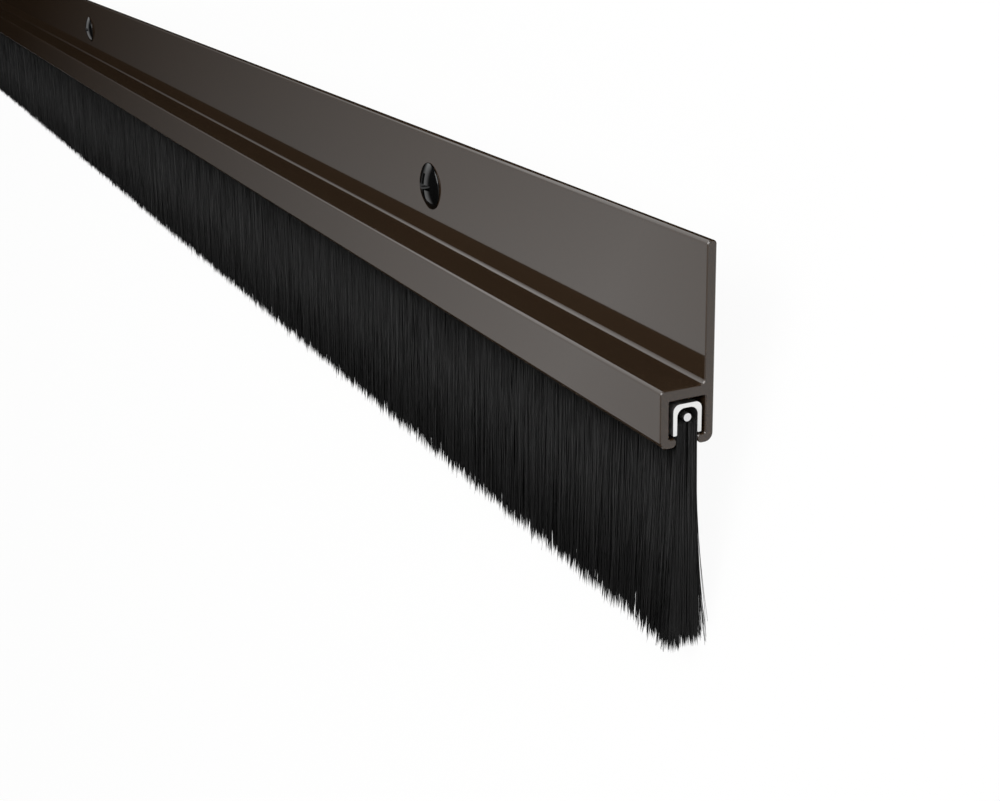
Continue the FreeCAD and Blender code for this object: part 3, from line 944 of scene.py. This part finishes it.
@dataclass
class Studio:
    """The pale floor, the white surroundings, the dome and cards that metal mirrors, lamps and camera.

    The camera's place and axes are given in strip millimetres, so it keeps its view of the strip.  A
    place on the dome is told by its nearness to the strip's far end, a cosine, and by its turn about the
    strip's line, in degrees from straight up towards the back.
    """

    rest: StripRest
    lens: float = 56.06
    sensor: float = 36.0
    clip: tuple[float, float] = (0.005, 50.0)
    eye: tuple[float, float, float] = (592.570, 62.671, 87.471)
    right: tuple[float, float, float] = (0.42402, -0.02609, -0.90530)
    up: tuple[float, float, float] = (-0.29588, 0.94077, -0.16574)
    forward: tuple[float, float, float] = (-0.85601, -0.33808, -0.39113)

    # The floor and the light all round
    floor_size: float = 14.0
    floor_colour: str = "e8e8e6"
    floor_white: float = 0.95
    surround: float = 0.2

    # The dome: a pale wall, with dark cloth over part of it; a pair is the two sides of a soft edge
    dome_radius: float = 6.0
    dark: str = "0a0a0a"
    wall_near: tuple[float, float] = (0.82, 0.985)
    wall_power: float = 1.2
    rear_turn: tuple[float, float] = (-10.0, 30.0)
    rear_gain: float = 0.45
    roof_near: tuple[float, float] = (0.5, 0.72)
    roof_end_near: tuple[float, float] = (-0.7, -0.3)
    skirt_near: tuple[float, float] = (-0.1, 0.2)
    front_skirt_turn: tuple[float, float] = (-76.0, -68.0)
    back_hem_near: tuple[float, float] = (0.81, 0.906)
    back_hem_turn: tuple[float, float] = (104.0, 52.0)
    back_hem_soft: float = 5.0
    front_turn: tuple[float, float] = (-55.0, -48.0)
    front_light: float = 0.75
    wall_light: float = 0.85
    rear_light: float = 1.5
    first_mirror: float = 1.5

    # The cards: lowest and highest X, then lowest and highest Y, in metres
    card_lift: float = 0.0005
    cards: tuple[tuple[str, float, float, float, float], ...] = (
        ("front_card", -1.5, 0.44, -0.8, -0.026),
        ("back_card", -1.5, 0.7, 0.024, 0.8),
    )
    lamps: tuple[SoftLamp, ...] = (
        SoftLamp("key_softbox", (0.6, 0.5, 1.9), (0.0, 0.0, 0.0), 1.4, 12.5),
        SoftLamp("fill_softbox", (0.1, -1.6, 1.2), (0.0, 0.0, 0.0), 1.0, 4.0, mirrored=False),
        SoftLamp("near_softbox", (0.75, 0.25, 0.6), (0.45, 0.0, 0.0), 0.6, 5.5),
    )

    def place_camera(self) -> None:
        """Puts the camera where the photograph was taken from."""
        data = bpy.data.cameras.new("photo_camera")
        data.lens = self.lens
        data.sensor_width = self.sensor
        data.sensor_fit = "HORIZONTAL"
        data.clip_start, data.clip_end = self.clip
        camera = new_object("photo_camera", data)
        axes = Matrix((self.right, self.up, tuple(-part for part in self.forward))).transposed()
        lean = Matrix.Rotation(math.radians(self.rest.lean), 4, "X")
        eye = Matrix.Translation(self.rest.matrix() @ Vector(self.eye))
        camera.matrix_world = eye @ lean @ axes.to_4x4()
        bpy.context.scene.camera = camera

    def white_share(self, tree: bpy.types.NodeTree) -> bpy.types.NodeSocket:
        """Adds the nodes that tell the rays which see the white background from those that light.

        Args:
            tree: The node tree that gets them.

        Returns:
            A socket that is 1 for camera, glossy and transmission rays.
        """
        path = add_node(tree, "LightPath")
        share = path.outputs[SeenBy.CAMERA.value]
        for kind in (SeenBy.GLOSSY, SeenBy.TRANSMISSION):
            either = add_node(tree, "Math", {"operation": "MAXIMUM"}, {0: share, 1: path.outputs[kind.value]})
            share = either.outputs[0]
        return share

    def lay_floor(self) -> None:
        """Lays the pale floor, which looks white and keeps a soft shadow."""
        bm = bmesh.new()
        bmesh.ops.create_grid(bm, x_segments=1, y_segments=1, size=self.floor_size / 2)
        material, tree = new_tree("pale_floor")
        paint = add_node(tree, "BsdfDiffuse", None, {"Color": linear(self.floor_colour)})
        white = add_node(tree, "Emission", None, {"Strength": 1.0})
        seen = self.white_share(tree)
        share = add_node(tree, "Math", {"operation": "MULTIPLY"}, {0: seen, 1: self.floor_white})
        mixed = add_node(tree, "MixShader", None, {
            0: share.outputs[0], 1: paint.outputs[0], 2: white.outputs[0]})
        add_node(tree, "OutputMaterial", None, {"Surface": mixed.outputs[0]})
        finished_piece("floor", bm, material)

    def light_world(self) -> None:
        """Sets soft pale surroundings, which the camera, metal and glass see as white."""
        world = bpy.data.worlds.new("studio")
        world.use_nodes = True
        tree = world.node_tree
        tree.nodes.clear()
        seen = self.white_share(tree)
        strength = add_node(tree, "Mix", {"data_type": "FLOAT"}, {0: seen, 2: self.surround, 3: 1.0})
        sky = add_node(tree, "Background", None, {"Color": linear("ffffff"), "Strength": strength.outputs[0]})
        add_node(tree, "OutputWorld", None, {"Surface": sky.outputs[0]})
        bpy.context.scene.world = world

    def dome_places(self, tree: bpy.types.NodeTree) -> tuple[bpy.types.NodeSocket, bpy.types.NodeSocket]:
        """Adds the nodes that tell where a point of the dome lies.

        Args:
            tree: The dome's node tree.

        Returns:
            Sockets with the point's nearness to the strip's far end and its turn, in radians.
        """
        place = add_node(tree, "VectorMath", {"operation": "NORMALIZE"}, {
            0: add_node(tree, "TexCoord").outputs["Object"]}).outputs[0]
        near = add_node(tree, "VectorMath", {"operation": "DOT_PRODUCT"}, {0: place, 1: (-1.0, 0.0, 0.0)})
        parts = add_node(tree, "SeparateXYZ", None, {0: place})
        turn = add_node(tree, "Math", {"operation": "ARCTAN2"}, {0: parts.outputs[1], 1: parts.outputs[2]})
        return near.outputs["Value"], turn.outputs[0]

    def cloth_cover(self, tree: bpy.types.NodeTree, near: bpy.types.NodeSocket, turn: bpy.types.NodeSocket,
                    rear: bpy.types.NodeSocket) -> bpy.types.NodeSocket:
        """Adds the nodes that say where on the dome dark cloth hangs.

        Seen from the strip, it leaves a bright ring about the far end.  Inside the ring it fades to dark
        towards the strip's own line, and outside it there is a dark roof and low dark skirts in front
        and behind.

        Args:
            tree: The dome's node tree.
            near: A point's nearness to the strip's far end.
            turn: Its turn about the strip's line.
            rear: From 0, in front, to 1, behind the strip.

        Returns:
            A socket from 0, pale wall, to 1, cloth.
        """
        inward = add_node(tree, "MapRange", None, {
            "Value": near, "From Min": self.wall_near[0], "From Max": self.wall_near[1],
            "To Min": 1.0, "To Max": 0.0})
        fade = add_node(tree, "Math", {"operation": "POWER"}, {0: inward.outputs[0], 1: self.wall_power})
        gain = add_node(tree, "MapRange", None, {
            "Value": rear, "To Min": 1.0, "To Max": 1.0 + self.rear_gain})
        lit = add_node(tree, "Math", {"operation": "MULTIPLY"}, {0: fade.outputs[0], 1: gain.outputs[0]})
        centre = add_node(tree, "Math", {"operation": "SUBTRACT", "use_clamp": True}, {
            0: 1.0, 1: lit.outputs[0]})
        hem_far, hem_near = (math.radians(angle) for angle in self.back_hem_turn)
        hem = add_node(tree, "MapRange", None, {
            "Value": near, "From Min": self.back_hem_near[0], "From Max": self.back_hem_near[1],
            "To Min": hem_far, "To Max": hem_near})
        past = add_node(tree, "Math", {"operation": "SUBTRACT"}, {0: turn, 1: hem.outputs[0]})
        soft = math.radians(self.back_hem_soft)
        front_low, front_high = (math.radians(angle) for angle in self.front_skirt_turn)
        # Soft edges: what each is measured on, its two sides, and its value at the low side.
        over, behind, side, front, back = (
            add_node(tree, "MapRange", {"interpolation_type": "SMOOTHSTEP"}, {
                "Value": value, "From Min": start, "From Max": stop, "To Min": first, "To Max": 1.0 - first})
            for value, start, stop, first in (
                (near, *self.roof_near, 1.0), (near, *self.roof_end_near, 0.0),
                (near, *self.skirt_near, 0.0), (turn, front_low, front_high, 1.0),
                (past.outputs[0], -soft, soft, 0.0)))
        roof = add_node(tree, "Math", {"operation": "MULTIPLY"}, {0: over.outputs[0], 1: behind.outputs[0]})
        low = add_node(tree, "Math", {"operation": "MAXIMUM"}, {0: front.outputs[0], 1: back.outputs[0]})
        skirt = add_node(tree, "Math", {"operation": "MULTIPLY"}, {0: low.outputs[0], 1: side.outputs[0]})
        cover = centre.outputs[0]
        for cloth in (roof, skirt):
            both = add_node(tree, "Math", {"operation": "MAXIMUM"}, {0: cover, 1: cloth.outputs[0]})
            cover = both.outputs[0]
        return cover

    def hang_dome(self) -> None:
        """Sets up a wide dome, a pale wall with dark cloth over part of it, which only reflections see.

        The metal's clear oxide mirrors it, so the flange fades to deep brown along the strip.  The wall
        is dark to a second reflection, so corners of the holder that mirror each other stay deep brown.
        """
        bm = bmesh.new()
        bmesh.ops.create_uvsphere(bm, u_segments=64, v_segments=32, radius=self.dome_radius)
        bmesh.ops.bisect_plane(bm, geom=bm.verts[:] + bm.edges[:] + bm.faces[:], plane_co=(0, 0, 0),
                               plane_no=(0, 0, -1), clear_outer=True)
        material, tree = new_tree("dark_flags")
        near, turn = self.dome_places(tree)
        rear_low, rear_high = (math.radians(angle) for angle in self.rear_turn)
        rear = add_node(tree, "MapRange", {"interpolation_type": "SMOOTHSTEP"}, {
            "Value": turn, "From Min": rear_low, "From Max": rear_high}).outputs[0]
        front_low, front_high = (math.radians(angle) for angle in self.front_turn)
        dimmed = add_node(tree, "MapRange", {"interpolation_type": "SMOOTHSTEP"}, {
            "Value": turn, "From Min": front_low, "From Max": front_high,
            "To Min": self.front_light, "To Max": self.wall_light})
        strength = add_node(tree, "Mix", {"data_type": "FLOAT"}, {
            0: rear, 2: dimmed.outputs[0], 3: self.rear_light})
        mirrors = add_node(tree, "LightPath").outputs["Glossy Depth"]
        first = add_node(tree, "Math", {"operation": "LESS_THAN"}, {0: mirrors, 1: self.first_mirror})
        lit = add_node(tree, "Math", {"operation": "MULTIPLY"}, {0: strength.outputs[0], 1: first.outputs[0]})
        wall = add_node(tree, "Emission", None, {"Strength": lit.outputs[0]})
        cloth = add_node(tree, "BsdfDiffuse", None, {"Color": linear(self.dark)})
        cover = self.cloth_cover(tree, near, turn, rear)
        mixed = add_node(tree, "MixShader", None, {0: cover, 1: wall.outputs[0], 2: cloth.outputs[0]})
        add_node(tree, "OutputMaterial", None, {"Surface": mixed.outputs[0]})
        self.hang_out_of_sight(finished_piece("dark_flags", bm, material))

    def lay_card(self, name: str, far: float, near: float, front: float, back: float) -> None:
        """Lays a black card on the floor beside the strip, which only reflections see.

        The rounded long edges of the strip mirror it, so each of them ends in a dark line.

        Args:
            name: The card's name.
            far: Its lowest X, in metres.
            near: Its highest X.
            front: Its lowest Y.
            back: Its highest Y.
        """
        bm = bmesh.new()
        bmesh.ops.create_grid(bm, x_segments=1, y_segments=1, size=0.5)
        middle = Matrix.Translation(((far + near) / 2, (front + back) / 2, self.card_lift))
        spread = Matrix.Diagonal((near - far, back - front, 1, 1))
        bmesh.ops.transform(bm, matrix=middle @ spread, verts=bm.verts[:])
        material, tree = new_tree(name)
        paper = add_node(tree, "BsdfDiffuse", None, {"Color": linear(self.dark)})
        add_node(tree, "OutputMaterial", None, {"Surface": paper.outputs[0]})
        self.hang_out_of_sight(finished_piece(name, bm, material))

    def hang_out_of_sight(self, piece: bpy.types.Object) -> None:
        """Makes a stage piece that shows in reflections alone."""
        piece.visible_camera = piece.visible_diffuse = piece.visible_shadow = False
        piece.visible_transmission = piece.visible_volume_scatter = False

    def build(self) -> None:
        """Sets up the whole stage."""
        self.place_camera()
        self.lay_floor()
        self.light_world()
        self.hang_dome()
        for card in self.cards:
            self.lay_card(*card)
        for lamp in self.lamps:
            lamp.hang()
        bpy.context.scene.view_settings.view_transform = "Standard"


def main() -> None:
    """Dresses the strip piece by piece, in the order that it is put together."""
    logging.basicConfig(level=logging.INFO, format="%(message)s")
    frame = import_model()
    rest = StripRest()
    Studio(rest).build()
    Holder(frame["nodes"]).dress()
    # The folds take a darker, duller nylon: painted shade for the inside of the steel channel
    fold_shade_nylon = BlackNylon(name="painted_shade_black_nylon", black="040404", worn_black="080808", gloss=0.05)
    bristles = BristlePack(rest, BlackNylon().material(), fold_shade_nylon.material())
    bristles.make_core()
    bristles.make_hairs()
    for end in StripEnd:
        bristles.make_folds(end)
    bristles.make_strays()
    screw = RaisedScrew(rest, BlackenedSteel().material())
    for number, along in enumerate(screw.holes_along, start=1):
        screw.build(number, along)


if __name__ == "__main__":
    main()
